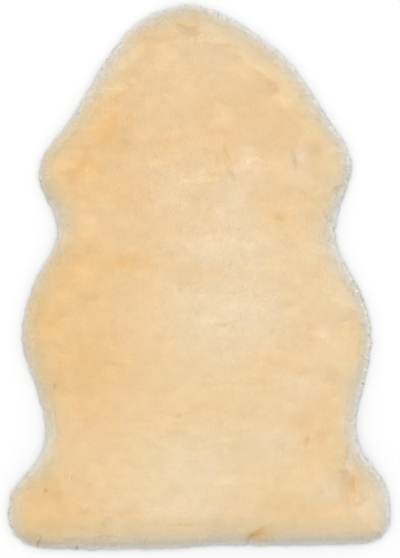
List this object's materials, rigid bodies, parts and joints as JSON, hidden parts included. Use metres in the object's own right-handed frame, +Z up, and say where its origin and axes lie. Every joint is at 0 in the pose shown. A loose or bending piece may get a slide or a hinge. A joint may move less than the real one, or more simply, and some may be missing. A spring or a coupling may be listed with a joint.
{
  "type": "sheepskin rug",
  "caption": "Natural sheepskin rug lying flat, wool side up: a tanned hide in the animal's outline with short shorn wool that turns over in a soft rim of locks.",
  "frame": {"origin": "on the floor, under the middle of the rug's bounding box", "axes": "+Z up, out of the wool; +Y along the backbone towards the neck; +X to the right when the neck points away"},
  "size_m": [0.6698, 0.9532, 0.0352],
  "materials": {
    "hide": "tanned skin, suede-like flesh side, matt cream buff",
    "wool": "short shorn sheep's wool, soft and matt, warm cream yellow with paler tips"
  },
  "bodies": {
    "root": {"hide": "hide", "fleece": "wool"}
  },
  "joints": []
}
